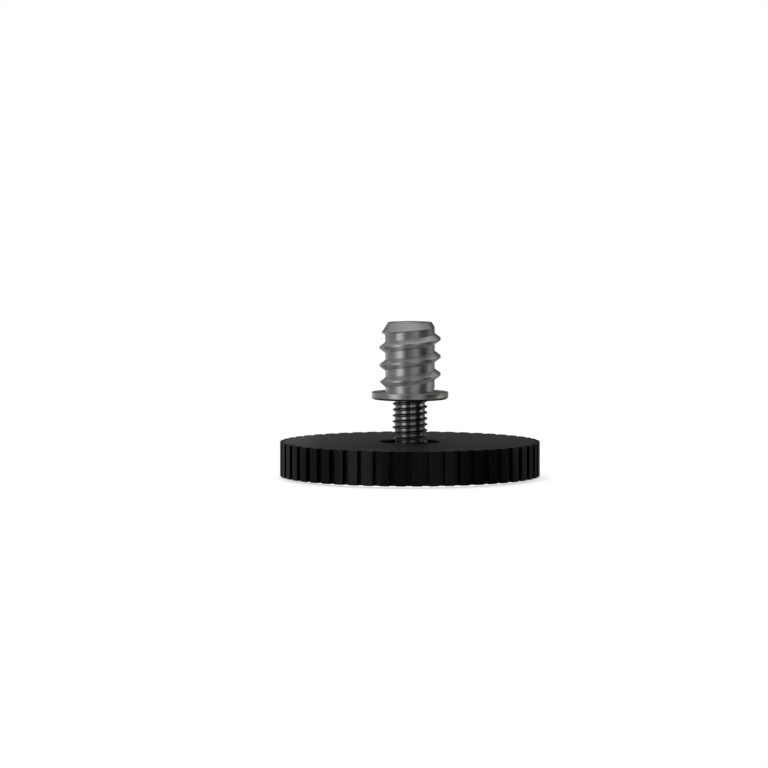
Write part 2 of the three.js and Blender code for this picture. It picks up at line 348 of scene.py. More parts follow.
def block(name, low, high):
    """A block from its lowest to its highest corner, as a tool to cut or join with."""
    bpy.ops.object.select_all(action="DESELECT")
    low, high = Vector(low), Vector(high)
    bpy.ops.mesh.primitive_cube_add(size=1, location=(low + high) / 2, scale=high - low)
    bpy.ops.object.transform_apply()
    made = bpy.context.object
    made.name = name
    return made


def copies_around(piece, count, start=0.0):
    """One object of several copies of a piece, spaced evenly round the Z axis."""
    copies = [piece]
    for index in range(1, count):
        copy = piece.copy()
        copy.data = piece.data.copy()
        bpy.context.collection.objects.link(copy)
        copy.rotation_euler.z = TURN * index / count
        copies.append(copy)
    bpy.ops.object.select_all(action="DESELECT")
    for copy in copies:
        copy.rotation_euler.z += start
        copy.select_set(True)
    bpy.context.view_layer.objects.active = piece
    bpy.ops.object.join()
    bpy.ops.object.transform_apply()
    return piece


def combine(piece, tool, operation):
    """Joins a tool to a piece, cuts it away or keeps what both share. The tool is used up."""
    apply_modifier(piece, "BOOLEAN", object=tool, operation=operation, solver="MANIFOLD")
    piece.data.materials.clear()
    bpy.data.objects.remove(tool)


foot_plate = turned("moulded_foot_plate", [
    (0, PLATE_BOTTOM + GATE_DEPTH),
    (GATE_RADIUS, PLATE_BOTTOM + GATE_DEPTH),
    (GATE_RADIUS, PLATE_BOTTOM),
    (GROOVE_INNER, PLATE_BOTTOM),
    (GROOVE_INNER, TREAD_HEIGHT),
    (GROOVE_OUTER, TREAD_HEIGHT),
    (GROOVE_OUTER, PLATE_BOTTOM),
    (PLATE_RADIUS - PLATE_CHAMFER, PLATE_BOTTOM),
    (PLATE_RADIUS, PLATE_BOTTOM + PLATE_CHAMFER),
    (PLATE_RADIUS, PLATE_TOP),
    (COLLAR_OUTER, PLATE_TOP),
    (COLLAR_OUTER, COLLAR_TOP),
    (HOOK_RADIUS + HOOK_LEAD, COLLAR_TOP),
    (HOOK_RADIUS, COLLAR_TOP - HOOK_LEAD),
    (HOOK_RADIUS, COLLAR_TOP - HOOK_HEIGHT),
    (COLLAR_INNER, COLLAR_TOP - HOOK_HEIGHT),
    (COLLAR_INNER, PLATE_TOP),
    (RECESS_RADIUS, PLATE_TOP),
    (RECESS_RADIUS, RECESS_FLOOR),
    (PIP_RADIUS, RECESS_FLOOR),
    (PIP_RADIUS, PIP_TOP),
    (0, PIP_TOP),
], PLATE_ROUNDING)
slot_tool = block(
    "finger slots",
    ((RECESS_RADIUS + COLLAR_INNER) / 2, -FINGER_SLOT_WIDTH / 2, PLATE_TOP + FINGER_SLOT_SILL),
    (COLLAR_OUTER + CUT_PAST, FINGER_SLOT_WIDTH / 2, COLLAR_TOP + CUT_PAST),
)
combine(foot_plate, copies_around(slot_tool, FINGER_SLOTS), "DIFFERENCE")
ejector_tool = turned("ejector marks", [
    (0, -CUT_PAST),
    (EJECTOR_RADIUS, -CUT_PAST),
    (EJECTOR_RADIUS, PLATE_BOTTOM + EJECTOR_DEPTH),
    (0, PLATE_BOTTOM + EJECTOR_DEPTH),
], steps=EJECTOR_STEPS)
ejector_tool.location.x = EJECTOR_CIRCLE
bpy.ops.object.transform_apply()
combine(foot_plate, copies_around(ejector_tool, EJECTORS, EJECTOR_START), "DIFFERENCE")
finish(foot_plate)

plate_plastic, plate_surface, plate_place = new_material("matt black moulded plastic")
plate_grain = plate_place.noise(PLATE_GRAIN_SIZE * MM, detail=3)
plate_scuffs = plate_place.noise(PLATE_SCUFF_SIZE * MM, detail=6).step(*PLATE_SCUFF_EDGE)
wire(plate_scuffs.blend(PLATE_COLOUR, PLATE_SCUFF_COLOUR), plate_surface["Base Color"])
plate_roughness = PLATE_ROUGHNESS + plate_grain * PLATE_ROUGHNESS_SPREAD
wire(plate_roughness + plate_scuffs * PLATE_SCUFF_ROUGHNESS, plate_surface["Roughness"])
bump(plate_grain, PLATE_GRAIN_DEPTH * MM, plate_surface)
foot_plate.data.materials.append(plate_plastic)

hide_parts("foot_plate")
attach(foot_plate, "foot")


# ---- Thrust washer ----
# A plain washer of natural, off-white plastic, cut from a turned rod. It lies loose round the pip in the
# foot plate's recess, and the stud's head turns on it.

WASHER_PLAY = 0.2
WASHER_BORE = PIP_RADIUS + WASHER_PLAY
WASHER_ROUNDING = 0.08

ACETAL_DARK = (0.72, 0.69, 0.6)
ACETAL_LIGHT = (0.8, 0.77, 0.69)
ACETAL_TONE_SIZE = 2
ACETAL_ROUGHNESS = 0.35
ACETAL_ROUGHNESS_SPREAD = 0.15
TURNING_MARK_WIDTH = 0.12
TURNING_MARK_DEPTH = 0.004


def distance_from_axis(place):
    """How far a place is from the Z axis."""
    flat = place.node("ShaderNodeVectorMath", {"operation": "MULTIPLY"}, {0: place, 1: (1, 1, 0)})
    return place.node("ShaderNodeVectorMath", {"operation": "LENGTH"}, {0: flat}, "Value")


thrust_washer = turned("plastic_thrust_washer", [
    (WASHER_BORE, washer_low.z),
    (washer_high.x, washer_low.z),
    (washer_high.x, washer_high.z),
    (WASHER_BORE, washer_high.z),
], WASHER_ROUNDING)
finish(thrust_washer)

acetal, acetal_surface, acetal_place = new_material("natural off-white plastic")
mark_place = distance_from_axis(acetal_place) / (TURNING_MARK_WIDTH * MM)
turning_marks = mark_place.node(
    "ShaderNodeTexNoise", {"noise_dimensions": "1D"}, {"W": mark_place}, "Fac"
)
acetal_tone = acetal_place.noise(ACETAL_TONE_SIZE * MM, detail=3)
wire(acetal_tone.blend(ACETAL_DARK, ACETAL_LIGHT), acetal_surface["Base Color"])
wire(ACETAL_ROUGHNESS + turning_marks * ACETAL_ROUGHNESS_SPREAD, acetal_surface["Roughness"])
bump(turning_marks, TURNING_MARK_DEPTH * MM, acetal_surface)
thrust_washer.data.materials.append(acetal)

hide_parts("thrust_washer")
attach(thrust_washer, "foot")


# ---- Levelling stud ----
# An M6 stud of plated steel with a thin hex head. The head is cold forged and the right-hand thread is
# rolled. The head fits a pocket in the wheel's hub, so that the two turn as one, and the thread screws
# into the insert above.

stud_low, stud_high = (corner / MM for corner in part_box("levelling_stud"))
THREAD_PITCH = 1
CREST_RADIUS = 2.97
ROOT_RADIUS = 2.54
CREST_FLAT = 0.1
FLANK = 0.26
CREST_AT = 0
THREAD_STEPS = 72
THREAD_PAST = 0.5
STUD_TOP = stud_high.z
NECK_LENGTH = 0.8
TIP_CHAMFER = 0.7
HEAD_CORNER = HEAD_FLATS / math.sqrt(3)
HEAD_HEIGHT = 2.3
HEAD_TOP = stud_low.z + HEAD_HEIGHT
THREAD_SUNK = 1.3
THREAD_BOTTOM = HEAD_TOP - THREAD_SUNK
HEAD_CHAMFER = 0.45
HEAD_FACE_INSET = 0.25
HEAD_STEPS = 96

# A tool stands a hair off the faces that it would share with a piece, and where it clears a thread away
# it cuts just under the root.
UNDERCUT = 0.05
HAIR = 0.01

# The thread's roots are painted lighter and its crests darker. This is a painted highlight along the
# roots and painted shade on the crests, standing in for how the stud mirrors the room.
STEEL_CREST_SHADE_COLOUR = (0.2, 0.2, 0.204)
STEEL_ROOT_HIGHLIGHT_COLOUR = (0.55, 0.55, 0.567)
ROOT_HIGHLIGHT_ENDS = ROOT_RADIUS + 0.02
CREST_SHADE_STARTS = ROOT_RADIUS + 0.18
STEEL_GRIME_SIZE = 0.6
STEEL_GRAIN_SIZE = 0.12
STEEL_GRAIN_DEPTH = 0.002
STEEL_ROUGHNESS = 0.14
STEEL_ROUGHNESS_SPREAD = 0.12


def threaded_rod(name, pitch, root, crest, crest_flat, flank, low, high, crest_at):
    """A rod with a right-hand thread, cut square at both ends. Its crest passes +X at crest_at. One
    pitch of its side is drawn as a line, and the Screw modifier winds that line up the axis."""
    half_valley = (pitch - crest_flat) / 2 - flank
    start = crest_at - pitch / 2
    while start > low - pitch:
        start -= pitch
    rod = drawn(name, [
        (root, start),
        (root, start + half_valley),
        (crest, start + half_valley + flank),
        (crest, start + half_valley + flank + crest_flat),
        (root, start + pitch - half_valley),
        (root, start + pitch),
    ])
    bpy.ops.object.mode_set(mode="OBJECT")
    apply_modifier(
        rod,
        "SCREW",
        axis="Z",
        screw_offset=pitch,
        iterations=math.ceil((high - start) / pitch) + 1,
        steps=THREAD_STEPS,
        render_steps=THREAD_STEPS,
        use_merge_vertices=False,
    )
    in_edit_mode(rod)
    bpy.ops.mesh.remove_doubles(threshold=MERGE_DISTANCE)
    bpy.ops.mesh.bisect(plane_co=(0, 0, low), plane_no=(0, 0, 1), use_fill=True, clear_inner=True)
    bpy.ops.mesh.select_all(action="SELECT")
    bpy.ops.mesh.bisect(plane_co=(0, 0, high), plane_no=(0, 0, 1), use_fill=True, clear_outer=True)
    bpy.ops.mesh.select_all(action="SELECT")
    bpy.ops.mesh.normals_make_consistent(inside=False)
    bpy.ops.object.mode_set(mode="OBJECT")
    return rod


def hex_bar(name, corner, low, high):
    """A six-sided bar with corners on the X axis."""
    bpy.ops.object.select_all(action="DESELECT")
    middle = (0, 0, (low + high) / 2)
    bpy.ops.mesh.primitive_cylinder_add(vertices=6, radius=corner, depth=high - low, location=middle)
    bpy.ops.object.transform_apply()
    bar = bpy.context.object
    bar.name = name
    in_edit_mode(bar)
    bpy.ops.transform.rotate(value=TURN / 12, orient_axis="Z", center_override=(0, 0, 0))
    bpy.ops.object.mode_set(mode="OBJECT")
    return bar


levelling_stud = threaded_rod(
    "threaded_levelling_stud", THREAD_PITCH, ROOT_RADIUS, CREST_RADIUS, CREST_FLAT, FLANK,
    THREAD_BOTTOM, STUD_TOP + THREAD_PAST, CREST_AT,
)
stud_envelope = turned("stud envelope", [
    (0, 0),
    (ROOT_RADIUS - UNDERCUT, 0),
    (ROOT_RADIUS - UNDERCUT, HEAD_TOP + NECK_LENGTH),
    (CREST_RADIUS + HAIR, HEAD_TOP + NECK_LENGTH + CREST_RADIUS - ROOT_RADIUS),
    (CREST_RADIUS + HAIR, STUD_TOP - TIP_CHAMFER),
    (CREST_RADIUS - TIP_CHAMFER, STUD_TOP),
    (0, STUD_TOP),
], steps=THREAD_STEPS)
combine(levelling_stud, stud_envelope, "INTERSECT")
stud_head = hex_bar("stud head", HEAD_CORNER, stud_low.z - CUT_PAST, HEAD_TOP)
head_envelope = turned("head envelope", [
    (0, stud_low.z),
    (HEAD_FLATS / 2 - HEAD_FACE_INSET, stud_low.z),
    (HEAD_CORNER + HAIR, stud_low.z + HEAD_CHAMFER),
    (HEAD_CORNER + HAIR, HEAD_TOP + CUT_PAST),
    (0, HEAD_TOP + CUT_PAST),
], steps=HEAD_STEPS)
combine(stud_head, head_envelope, "INTERSECT")
combine(levelling_stud, stud_head, "UNION")
finish(levelling_stud)

steel, steel_surface, steel_place = new_material("plated steel")
steel_radius = distance_from_axis(steel_place)
# Painted highlight in the thread's roots and painted shade on its crests, set by the distance from the
# axis.
steel_root_highlight = 1 - steel_radius.step(ROOT_HIGHLIGHT_ENDS * MM, CREST_SHADE_STARTS * MM)
steel_grime = steel_place.noise(STEEL_GRIME_SIZE * MM, detail=5)
wire(steel_root_highlight.blend(STEEL_CREST_SHADE_COLOUR, STEEL_ROOT_HIGHLIGHT_COLOUR), steel_surface["Base Color"])
wire(STEEL_ROUGHNESS + steel_grime * STEEL_ROUGHNESS_SPREAD, steel_surface["Roughness"])
steel_surface["Metallic"].default_value = 1
bump(steel_place.noise(STEEL_GRAIN_SIZE * MM, detail=3), STEEL_GRAIN_DEPTH * MM, steel_surface)
levelling_stud.data.materials.append(steel)

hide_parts("levelling_stud")
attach(levelling_stud, "wheel")


# ---- Hand wheel ----
# The fluted wheel that is turned by hand, one moulding of satin black plastic: a skirt with fifty square
# flutes, a top wall with a hole for the stud, ribs under it, and a hub with a hex pocket for the head.
# Its flutes and lands are whole numbers of the steps into which the rim is divided.

wheel_low, wheel_high = (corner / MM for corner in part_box("hand_wheel"))
WHEEL_RADIUS = wheel_high.x
WHEEL_BOTTOM = wheel_low.z
WHEEL_TOP = wheel_high.z
FLUTES = 50
STEPS_PER_FLUTE = 10
LAND_HALF_STEPS = 3
FLUTE_DEPTH = 0.85
FLUTE_RADIUS = WHEEL_RADIUS - FLUTE_DEPTH
SKIRT_WALL = 1.85
SKIRT_INNER = FLUTE_RADIUS - SKIRT_WALL
SKIRT_CHAMFER = 0.35
TOP_WALL = 1.8
WALL_BOTTOM = WHEEL_TOP - TOP_WALL
COUNTERBORE_RADIUS = 5.25
COUNTERBORE_CHAMFER = 0.1
WEB_THICKNESS = 0.85
WEB_BOTTOM = HEAD_TOP
WEB_TOP = WEB_BOTTOM + WEB_THICKNESS
STUD_HOLE_PLAY = 0.35
STUD_HOLE_RADIUS = CREST_RADIUS + STUD_HOLE_PLAY
HUB_LIFT = 0.2
HUB_BOTTOM = PLATE_TOP + HUB_LIFT
BEAD_HEIGHT = 0.6
RIBS = 10
RIB_THICKNESS = 1.2
RIB_PLAY = 0.75
RIB_INNER = COLLAR_OUTER + RIB_PLAY
RIB_LIFT = 0.5
RIB_BOTTOM = PLATE_TOP + RIB_LIFT
RIB_ROUNDING = 0.15
RIB_START = TURN / RIBS / 2
UNDERSIDE_ROUNDING = 0.12
WHEEL_ROUNDING = 0.05

WHEEL_COLOUR = (0.0052, 0.0051, 0.0049)
WHEEL_WORN_COLOUR = (0.009, 0.0089, 0.0087)
WHEEL_WEAR_SIZE = 0.8
WHEEL_WEAR_EDGE = (0.5, 0.7)
WHEEL_WEAR_REACH = 0.1
WHEEL_CLOUD_SIZE = 5
WHEEL_GRAIN_SIZE = 0.25
WHEEL_GRAIN_DEPTH = 0.006
WHEEL_SPECULAR = 0.28
RIM_ROUGHNESS = 0.23
TOP_ROUGHNESS = 0.42
WHEEL_ROUGHNESS_SPREAD = 0.06
TOP_FINISH_STARTS = WHEEL_TOP - 0.04
TOP_FINISH_FULL = WHEEL_TOP - 0.01


def round_edges(piece, width):
    """Rounds the edges of a piece that shading would leave sharp."""
    angle = {"limit_method": "ANGLE", "angle_limit": SMOOTH_BELOW}
    apply_modifier(piece, "BEVEL", width=width, segments=ROUNDING_SEGMENTS, **angle)


def flute_step(point):
    """How many steps a point of the rim is from the middle of the nearest land."""
    turns = math.atan2(point.co.y, point.co.x) / TURN
    step = round(turns * FLUTES * STEPS_PER_FLUTE) % STEPS_PER_FLUTE
    return min(step, STEPS_PER_FLUTE - step)


def in_flute(points):
    """Whether any of some points of the rim lies beyond the edge of its land."""
    return max(flute_step(point) for point in points) > LAND_HALF_STEPS


bpy.ops.object.select_all(action="DESELECT")
bpy.ops.mesh.primitive_circle_add(
    vertices=FLUTES * STEPS_PER_FLUTE, radius=WHEEL_RADIUS, location=(0, 0, WHEEL_BOTTOM)
)
bpy.ops.object.transform_apply()
hand_wheel = bpy.context.object
hand_wheel.name = "fluted_hand_wheel"
in_edit_mode(hand_wheel)
bpy.ops.mesh.select_mode(type="EDGE")
rim = hand_wheel.data.vertices
select(hand_wheel, "edges", lambda edge: in_flute(rim[index] for index in edge.vertices))
bpy.ops.mesh.extrude_edges_move()
inward = FLUTE_RADIUS / WHEEL_RADIUS
bpy.ops.transform.resize(value=(inward, inward, 1), center_override=(0, 0, WHEEL_BOTTOM))
bpy.ops.mesh.select_mode(type="VERT")
middle_radius = (WHEEL_RADIUS + FLUTE_RADIUS) / 2
select(hand_wheel, "vertices", lambda point: point.co.xy.length > middle_radius and in_flute([point]))
bpy.ops.mesh.delete(type="VERT")
bpy.ops.mesh.select_all(action="SELECT")
bpy.ops.mesh.edge_face_add()
lift = (0, 0, WHEEL_TOP - WHEEL_BOTTOM)
bpy.ops.mesh.extrude_region_move(TRANSFORM_OT_translate={"value": lift})
bpy.ops.mesh.select_all(action="SELECT")
bpy.ops.mesh.normals_make_consistent(inside=False)
bpy.ops.object.mode_set(mode="OBJECT")
round_edges(hand_wheel, WHEEL_ROUNDING)

underside_tool = turned("wheel underside", [
    (0, -CUT_PAST),
    (SKIRT_INNER + SKIRT_CHAMFER, -CUT_PAST),
    (SKIRT_INNER + SKIRT_CHAMFER, WHEEL_BOTTOM),
    (SKIRT_INNER, WHEEL_BOTTOM + SKIRT_CHAMFER),
    (SKIRT_INNER, WALL_BOTTOM),
    (HUB_RADIUS, WALL_BOTTOM),
    (HUB_RADIUS, HUB_BOTTOM + BEAD_HEIGHT),
    (BEAD_RADIUS, HUB_BOTTOM + BEAD_HEIGHT),
    (BEAD_RADIUS, HUB_BOTTOM + BEAD_HEIGHT / 2),
    (HUB_RADIUS, HUB_BOTTOM),
    (0, HUB_BOTTOM),
], UNDERSIDE_ROUNDING)
combine(hand_wheel, underside_tool, "DIFFERENCE")
hole_tool = turned("stud hole", [
    (0, -CUT_PAST),
    (STUD_HOLE_RADIUS, -CUT_PAST),
    (STUD_HOLE_RADIUS, WEB_TOP),
    (COUNTERBORE_RADIUS, WEB_TOP),
    (COUNTERBORE_RADIUS, WHEEL_TOP - COUNTERBORE_CHAMFER),
    (COUNTERBORE_RADIUS + COUNTERBORE_CHAMFER, WHEEL_TOP),
    (COUNTERBORE_RADIUS + COUNTERBORE_CHAMFER, WHEEL_TOP + CUT_PAST),
    (0, WHEEL_TOP + CUT_PAST),
])
combine(hand_wheel, hole_tool, "DIFFERENCE")
combine(hand_wheel, hex_bar("head pocket", POCKET_CORNER, -CUT_PAST, WEB_BOTTOM), "DIFFERENCE")
rib_tool = block(
    "ribs",
    (RIB_INNER, -RIB_THICKNESS / 2, RIB_BOTTOM),
    (SKIRT_INNER + CUT_PAST, RIB_THICKNESS / 2, WALL_BOTTOM + CUT_PAST),
)
round_edges(rib_tool, RIB_ROUNDING)
combine(hand_wheel, copies_around(rib_tool, RIBS, RIB_START), "UNION")
finish(hand_wheel)

wheel_plastic, wheel_surface, wheel_place = new_material("satin black moulded plastic")
wheel_grain = wheel_place.noise(WHEEL_GRAIN_SIZE * MM, detail=4)
wheel_cloud = wheel_place.noise(WHEEL_CLOUD_SIZE * MM, detail=4)
wheel_radius = distance_from_axis(wheel_place)
rim_reach = wheel_radius.step((WHEEL_RADIUS - WHEEL_WEAR_REACH) * MM, WHEEL_RADIUS * MM)
rim_wear = rim_reach * wheel_place.noise(WHEEL_WEAR_SIZE * MM, detail=4).step(*WHEEL_WEAR_EDGE)
wire(rim_wear.blend(WHEEL_COLOUR, WHEEL_WORN_COLOUR), wheel_surface["Base Color"])
top_face = wheel_place.axis("Z").step(TOP_FINISH_STARTS * MM, TOP_FINISH_FULL * MM)
wheel_roughness = RIM_ROUGHNESS + top_face * (TOP_ROUGHNESS - RIM_ROUGHNESS)
wheel_unevenness = (wheel_grain + wheel_cloud) * WHEEL_ROUGHNESS_SPREAD
wire(wheel_roughness + wheel_unevenness, wheel_surface["Roughness"])
wheel_surface["Specular IOR Level"].default_value = WHEEL_SPECULAR
bump(wheel_grain, WHEEL_GRAIN_DEPTH * MM, wheel_surface)
hand_wheel.data.materials.append(wheel_plastic)

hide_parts("hand_wheel")
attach(hand_wheel, "wheel")


# ---- Retaining washer ----
# A push-on star washer of blackened spring steel, punched from strip. Its six teeth bite on the stud's
# thread just above the wheel's web, and hold the web down on the head.

retainer_low, retainer_high = (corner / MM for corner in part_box("retaining_washer"))
RETAINER_OUTER = retainer_high.x
TOOTH_PLAY = 0.06
TOOTH_TIP = CREST_RADIUS + TOOTH_PLAY
TOOTH_LENGTH = 0.75
TOOTH_ROOT = TOOTH_TIP + TOOTH_LENGTH
TOOTH_WIDTH = 1.5
RETAINER_TEETH = 6
RETAINER_ROUNDING = 0.04
RETAINER_STEPS = 144

SPRING_DARK = (0.03, 0.03, 0.034)
SPRING_LIGHT = (0.1, 0.1, 0.105)
SPRING_PATCH_SIZE = 1
SPRING_GRAIN_SIZE = 0.2
SPRING_GRAIN_DEPTH = 0.004
SPRING_ROUGHNESS = 0.35
SPRING_ROUGHNESS_SPREAD = 0.2

retaining_washer = turned("star_retaining_washer", [
    (TOOTH_ROOT, retainer_low.z),
    (RETAINER_OUTER, retainer_low.z),
    (RETAINER_OUTER, retainer_high.z),
    (TOOTH_ROOT, retainer_high.z),
], RETAINER_ROUNDING, RETAINER_STEPS)
tooth_tool = block(
    "teeth",
    (TOOTH_TIP - CUT_PAST, -TOOTH_WIDTH / 2, retainer_low.z + HAIR),
    ((TOOTH_ROOT + RETAINER_OUTER) / 2, TOOTH_WIDTH / 2, retainer_high.z - HAIR),
)
round_edges(tooth_tool, RETAINER_ROUNDING)
combine(retaining_washer, copies_around(tooth_tool, RETAINER_TEETH), "UNION")
washer_bore = turned("washer bore", [
    (0, retainer_low.z - CUT_PAST),
    (TOOTH_TIP, retainer_low.z - CUT_PAST),
    (TOOTH_TIP, retainer_high.z + CUT_PAST),
    (0, retainer_high.z + CUT_PAST),
], steps=RETAINER_STEPS)
combine(retaining_washer, washer_bore, "DIFFERENCE")
finish(retaining_washer)

spring_steel, spring_surface, spring_place = new_material("blackened spring steel")
spring_patches = spring_place.noise(SPRING_PATCH_SIZE * MM, detail=5)
wire(spring_patches.blend(SPRING_DARK, SPRING_LIGHT), spring_surface["Base Color"])
wire(SPRING_ROUGHNESS + spring_patches * SPRING_ROUGHNESS_SPREAD, spring_surface["Roughness"])
spring_surface["Metallic"].default_value = 1
bump(spring_place.noise(SPRING_GRAIN_SIZE * MM, detail=3), SPRING_GRAIN_DEPTH * MM, spring_surface)
retaining_washer.data.materials.append(spring_steel)

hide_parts("retaining_washer")
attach(retaining_washer, "wheel")


# ---- Threaded insert ----
# The die-cast zinc insert that holds the foot. It is driven by its hex socket into a drilled hole, where
# its coarse outer thread bites, until its flange stops it. The stud screws into its tapped bore.

insert_low, insert_high = (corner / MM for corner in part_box("threaded_insert"))
FLANGE_RADIUS = insert_high.x
FLANGE_THICKNESS = 1.2
FLANGE_TOP = insert_low.z + FLANGE_THICKNESS
FLANGE_CHAMFER = 0.3
FLANGE_ROUNDING = 0.08
FLANGE_STEPS = 144
FLANGE_OVERHANG = 1.3
INSERT_CREST = FLANGE_RADIUS - FLANGE_OVERHANG
OUTER_THREAD_DEPTH = 1
INSERT_ROOT = INSERT_CREST - OUTER_THREAD_DEPTH
OUTER_PITCH = 3
OUTER_CREST_FLAT = 0.3
OUTER_FLANK = 0.75
OUTER_THREAD_BOTTOM = FLANGE_TOP - FLANGE_THICKNESS / 2
THREAD_RELIEF = 0.8
INSERT_TAPER = 2.4
INSERT_TIP_INSET = 0.5
INSERT_TIP = INSERT_ROOT - INSERT_TIP_INSET
BORE_PLAY = 0.17
BORE_MAJOR = CREST_RADIUS + BORE_PLAY
BORE_MINOR = 2.65
BORE_CREST_FLAT = 0.092
BORE_FLANK_ANGLE = math.radians(30)
BORE_FLANK = (BORE_MAJOR - BORE_MINOR) * math.tan(BORE_FLANK_ANGLE)
BORE_MOUTH = 0.3
BORE_MOUTH_PAST = 0.1
SOCKET_FLATS = 6.3
SOCKET_CORNER = SOCKET_FLATS / math.sqrt(3)
SOCKET_DEPTH = 3.5
INSERT_SMOOTH_BELOW = math.radians(19)

ZINC_DARK = (0.62, 0.62, 0.61)
ZINC_LIGHT = (0.82, 0.82, 0.8)
ZINC_CLOUD_SIZE = 2
ZINC_CLOUD_EDGE = (0.3, 0.7)
ZINC_GRAIN_SIZE = 0.2
ZINC_GRAIN_DEPTH = 0.008
ZINC_ROUGHNESS = 0.22
ZINC_ROUGHNESS_SPREAD = 0.2

threaded_insert = threaded_rod(
    "screw_in_insert", OUTER_PITCH, INSERT_ROOT, INSERT_CREST, OUTER_CREST_FLAT, OUTER_FLANK,
    OUTER_THREAD_BOTTOM, insert_high.z + THREAD_PAST, FLANGE_TOP + OUTER_PITCH,
)
insert_envelope = turned("insert envelope", [
    (0, 0),
    (INSERT_ROOT - UNDERCUT, 0),
    (INSERT_ROOT - UNDERCUT, FLANGE_TOP + THREAD_RELIEF),
    (INSERT_CREST + HAIR, FLANGE_TOP + THREAD_RELIEF + OUTER_THREAD_DEPTH),
    (INSERT_CREST + HAIR, insert_high.z - INSERT_TAPER),
    (INSERT_TIP, insert_high.z),
    (0, insert_high.z),
], steps=THREAD_STEPS)
combine(threaded_insert, insert_envelope, "INTERSECT")
flange = turned("insert flange", [
    (0, insert_low.z),
    (FLANGE_RADIUS - FLANGE_CHAMFER, insert_low.z),
    (FLANGE_RADIUS, insert_low.z + FLANGE_CHAMFER),
    (FLANGE_RADIUS, FLANGE_TOP),
    (0, FLANGE_TOP),
], FLANGE_ROUNDING, FLANGE_STEPS)
combine(threaded_insert, flange, "UNION")
tap = threaded_rod(
    "tap", THREAD_PITCH, BORE_MINOR, BORE_MAJOR, BORE_CREST_FLAT, BORE_FLANK,
    insert_low.z + SOCKET_DEPTH - THREAD_PAST, insert_high.z + CUT_PAST, CREST_AT,
)
combine(threaded_insert, tap, "DIFFERENCE")
countersink = turned("bore mouth", [
    (0, insert_high.z - BORE_MOUTH),
    (BORE_MAJOR - BORE_MOUTH, insert_high.z - BORE_MOUTH),
    (BORE_MAJOR + BORE_MOUTH_PAST, insert_high.z + BORE_MOUTH_PAST),
    (0, insert_high.z + BORE_MOUTH_PAST),
], steps=THREAD_STEPS)
countersink.rotation_euler.z = TURN / THREAD_STEPS / 2
bpy.ops.object.transform_apply()
combine(threaded_insert, countersink, "DIFFERENCE")
socket_top = insert_low.z + SOCKET_DEPTH
socket_tool = hex_bar("hex socket", SOCKET_CORNER, insert_low.z - CUT_PAST, socket_top)
combine(threaded_insert, socket_tool, "DIFFERENCE")
finish(threaded_insert, INSERT_SMOOTH_BELOW)

zinc, zinc_surface, zinc_place = new_material("bare die-cast zinc alloy")
zinc_cloud = zinc_place.noise(ZINC_CLOUD_SIZE * MM, detail=6)
zinc_grain = zinc_place.noise(ZINC_GRAIN_SIZE * MM, detail=4)
wire(zinc_cloud.step(*ZINC_CLOUD_EDGE).blend(ZINC_DARK, ZINC_LIGHT), zinc_surface["Base Color"])
wire(ZINC_ROUGHNESS + zinc_cloud * ZINC_ROUGHNESS_SPREAD, zinc_surface["Roughness"])
zinc_surface["Metallic"].default_value = 1
bump(zinc_grain, ZINC_GRAIN_DEPTH * MM, zinc_surface)
threaded_insert.data.materials.append(zinc)

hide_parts("threaded_insert")
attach(threaded_insert, "insert")


# ---- Studio ----
# A pale floor, a large soft lamp above, two low strips behind the foot that give the wheel's top face its
# sheen, and two small ones beside it that only the stud mirrors. The room has dim walls with a few
# brighter strips, and a mid-grey ceiling and ground. The camera sees white behind the foot.

bpy.context.scene.view_settings.view_transform = "Standard"

# The floor is a ring that stays clear of the tread, and no piece mirrors it. Seen from above it is
# shadowed near the foot and plain white further out, and from below it is clear. To light it is dim, so
# that it throws little up.
FLOOR_RADIUS = 0.7
FLOOR_HOLE = 0.02
FLOOR_SIDES = 96
SHADOW_REACH = 0.05
SHADOW_FADE = 0.12
FLOOR_COLOUR = (0.45, 0.45, 0.45, 1)
FLOOR_GLOW = 0.62
FLOOR_UNSEEN_COLOUR = (0.15, 0.15, 0.15, 1)

bpy.ops.object.select_all(action="DESELECT")
bpy.ops.mesh.primitive_circle_add(vertices=FLOOR_SIDES, radius=FLOOR_RADIUS)
floor = bpy.context.object
floor.name = "floor"
in_edit_mode(floor)
bpy.ops.mesh.extrude_edges_move()
bpy.ops.transform.resize(value=(FLOOR_HOLE / FLOOR_RADIUS,) * 3, center_override=(0, 0, 0))
bpy.ops.mesh.select_all(action="SELECT")
bpy.ops.mesh.normals_make_consistent(inside=False)
bpy.ops.object.mode_set(mode="OBJECT")
floor.visible_glossy = False

floor_paint = bpy.data.materials.new("pale floor")
floor_paint.use_nodes = True
floor_tree = floor_paint.node_tree
floor_tree.nodes.clear()
shade = Shade(floor_tree)
floor_place = shade.node("ShaderNodeTexCoord", {}, {}, "Object")
seen = shade.node("ShaderNodeLightPath", {}, {}, "Is Camera Ray")
from_below = shade.node("ShaderNodeNewGeometry", {}, {}, "Backfacing")
lit = shade.node("ShaderNodeBsdfDiffuse", {}, {"Color": FLOOR_COLOUR})
glow = shade.node("ShaderNodeEmission", {}, {"Strength": FLOOR_GLOW})
shadowed = shade.node("ShaderNodeAddShader", {}, {0: lit, 1: glow})
plain_white = shade.node("ShaderNodeEmission", {}, {"Strength": 1})
away = distance_from_axis(floor_place).step(SHADOW_REACH, SHADOW_FADE)
white = shade.node("ShaderNodeMixShader", {}, {0: away, 1: shadowed, 2: plain_white})
dim = shade.node("ShaderNodeBsdfDiffuse", {}, {"Color": FLOOR_UNSEEN_COLOUR})
upper = shade.node("ShaderNodeMixShader", {}, {0: seen, 1: dim, 2: white})
clear = shade.node("ShaderNodeBsdfTransparent", {}, {})
both = shade.node("ShaderNodeMixShader", {}, {0: from_below, 1: upper, 2: clear})
shade.node("ShaderNodeOutputMaterial", {}, {"Surface": both})
floor.data.materials.append(floor_paint)

